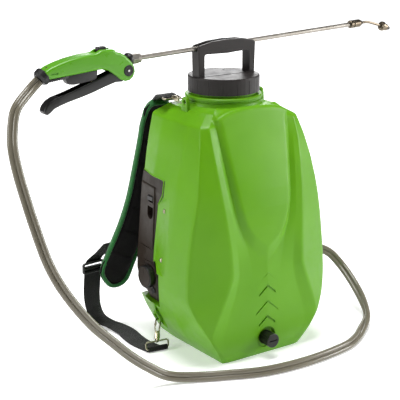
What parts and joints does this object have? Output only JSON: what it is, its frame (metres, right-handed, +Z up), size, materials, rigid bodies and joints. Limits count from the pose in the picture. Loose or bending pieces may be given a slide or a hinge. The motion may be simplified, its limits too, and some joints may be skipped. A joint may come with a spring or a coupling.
{
  "type": "backpack sprayer",
  "caption": "Battery backpack garden sprayer: tapered green tank, grey pump module, screw cap with carrying handle, trigger lance, hose and padded straps.",
  "frame": {"origin": "middle of the tank's flat base, under the axis of the neck", "axes": "+Z up, -Y the front with the raised panel and drain, +Y the side worn against the back, +X the side with the hose outlet and the nozzle end of the lance"},
  "size_m": [0.8186, 0.3749, 0.5506],
  "materials": {
    "tank_green": "blow-moulded green polyethylene",
    "gun_green": "moulded, semi-gloss",
    "module_grey": "moulded, fine texture",
    "cap_grey": "moulded, semi-matte",
    "black_plastic": "moulded, semi-matte",
    "white_plastic": "moulded",
    "steel": "stainless, drawn",
    "zinc": "yellow-passivated plating",
    "brass": "turned",
    "hose": "clear flexible tube, greyish",
    "rubber": "moulded",
    "webbing": "woven polypropylene webbing",
    "pad_fabric": "foam pad, black cover with a green bound edge",
    "board_green": "coated board"
  },
  "bodies": {
    "tank_unit": {"tank": "tank_green", "strainer_basket": "black_plastic", "module_housing": "module_grey", "controller_board": "board_green", "speed_control": "black_plastic", "pump_motor": "steel", "pump_head": "black_plastic", "suction_fitting": "black_plastic", "suction_tube": "hose", "suction_filter": "black_plastic", "outlet_fitting": "black_plastic", "socket_cover": "rubber", "hose": "hose", "flange_screw_lower_left": "zinc", "flange_screw_lower_right": "zinc", "flange_screw_upper_left": "zinc", "flange_screw_upper_right": "zinc", "strap_pad_left": "pad_fabric", "strap_top_webbing_left": "webbing", "strap_upper_hook_left": "zinc", "strap_buckle_left": "black_plastic", "strap_lower_webbing_left": "webbing", "strap_ring_left": "zinc", "strap_lower_hook_left": "zinc", "strap_pad_right": "pad_fabric", "strap_top_webbing_right": "webbing", "strap_upper_hook_right": "zinc", "strap_buckle_right": "black_plastic", "strap_lower_webbing_right": "webbing", "strap_ring_right": "zinc", "strap_lower_hook_right": "zinc"},
    "drain": {"drain_plug": "black_plastic", "drain_gasket": "rubber"},
    "knob": {"speed_knob": "black_plastic", "knob_face": "module_grey", "knob_shaft": "steel"},
    "battery": {"battery_pack": "module_grey"},
    "latch": {"battery_latch": "black_plastic"},
    "outlet_union": {"outlet_nut": "black_plastic"},
    "cap_unit": {"cap": "cap_grey", "cap_gasket": "rubber", "vent_valve": "rubber"},
    "lance_unit": {"gun_body": "gun_green", "gun_ferrule": "black_plastic", "gun_base": "black_plastic", "valve_block": "black_plastic", "trigger_pin": "black_plastic", "pin_button": "white_plastic", "trigger_spring": "steel", "hose_tail": "brass", "lance_tube": "steel"},
    "lever": {"trigger_lever": "black_plastic"},
    "stem": {"valve_stem": "brass"},
    "lock": {"trigger_lock": "black_plastic"},
    "hose_union": {"hose_nut": "black_plastic"},
    "lance_union": {"lance_nut": "steel"},
    "end_union": {"lance_end_nut": "zinc"},
    "nozzle_arm": {"elbow_tube": "steel", "nozzle_tip": "black_plastic"},
    "nozzle_union": {"nozzle_nut": "zinc"}
  },
  "joints": [
    {"name": "cap_turn", "type": "hinge", "parent": "tank_unit", "child": "cap_unit", "pos_m": [0, 0, 0.467], "axis": [0, 0, 1], "range_deg": [0, 110]},
    {"name": "drain_turn", "type": "hinge", "parent": "tank_unit", "child": "drain", "pos_m": [0, -0.14, 0.034], "axis": [0, -1, 0], "range_deg": [0, 300]},
    {"name": "speed_turn", "type": "hinge", "parent": "tank_unit", "child": "knob", "pos_m": [-0.13, 0.047, 0.1225], "axis": [-1, 0, 0], "range_deg": [0, 270]},
    {"name": "battery_slide", "type": "slide", "parent": "tank_unit", "child": "battery", "axis": [-1, 0, 0], "range_m": [0, 0.09]},
    {"name": "latch_press", "type": "slide", "parent": "battery", "child": "latch", "axis": [0, 0, -1], "range_m": [0, 0.003], "stiffness_N_per_m": 300, "springref_m": -0.003},
    {"name": "outlet_nut_turn", "type": "hinge", "parent": "tank_unit", "child": "outlet_union", "pos_m": [0.14, 0.052, 0.118], "axis": [1, 0, 0], "range_deg": [0, 300]},
    {"name": "lance_lift", "type": "slide", "parent": "cap_unit", "child": "lance_unit", "axis": [0, 0, 1], "range_m": [0, 0.06]},
    {"name": "trigger_squeeze", "type": "hinge", "parent": "lance_unit", "child": "lever", "pos_m": [-0.2013, 0, 0.50861], "axis": [0, 1, 0], "range_deg": [0, 9], "stiffness_Nm_per_rad": 0.35, "springref_deg": -17.19},
    {"name": "valve_push", "type": "slide", "parent": "lance_unit", "child": "stem", "axis": [-0.0366, 0, 0.9993], "range_m": [0, 0.01]},
    {"name": "lock_slide", "type": "slide", "parent": "lance_unit", "child": "lock", "axis": [0.9993, 0, 0.0366], "range_m": [0, 0.012]},
    {"name": "hose_nut_turn", "type": "hinge", "parent": "lance_unit", "child": "hose_union", "pos_m": [-0.35255, 0, 0.51226], "axis": [-0.7649, 0, -0.6441], "range_deg": [0, 300]},
    {"name": "lance_nut_turn", "type": "hinge", "parent": "lance_unit", "child": "lance_union", "pos_m": [-0.17988, 0, 0.5249], "axis": [0.9993, 0, 0.0366], "range_deg": [0, 300]},
    {"name": "end_nut_turn", "type": "hinge", "parent": "lance_unit", "child": "end_union", "pos_m": [0.2998, 0, 0.54249], "axis": [0.9993, 0, 0.0366], "range_deg": [0, 300]},
    {"name": "nozzle_swing", "type": "hinge", "parent": "lance_unit", "child": "nozzle_arm", "pos_m": [0.30979, 0, 0.54286], "axis": [0.9993, 0, 0.0366], "continuous": true},
    {"name": "nozzle_nut_turn", "type": "hinge", "parent": "nozzle_arm", "child": "nozzle_union", "pos_m": [0.37022, 0, 0.53227], "axis": [0.9553, 0, -0.2955], "range_deg": [0, 300]}
  ],
  "couplings": [
    {"joint": "valve_push", "follows": "trigger_squeeze", "m_per_rad": 0.062}
  ]
}
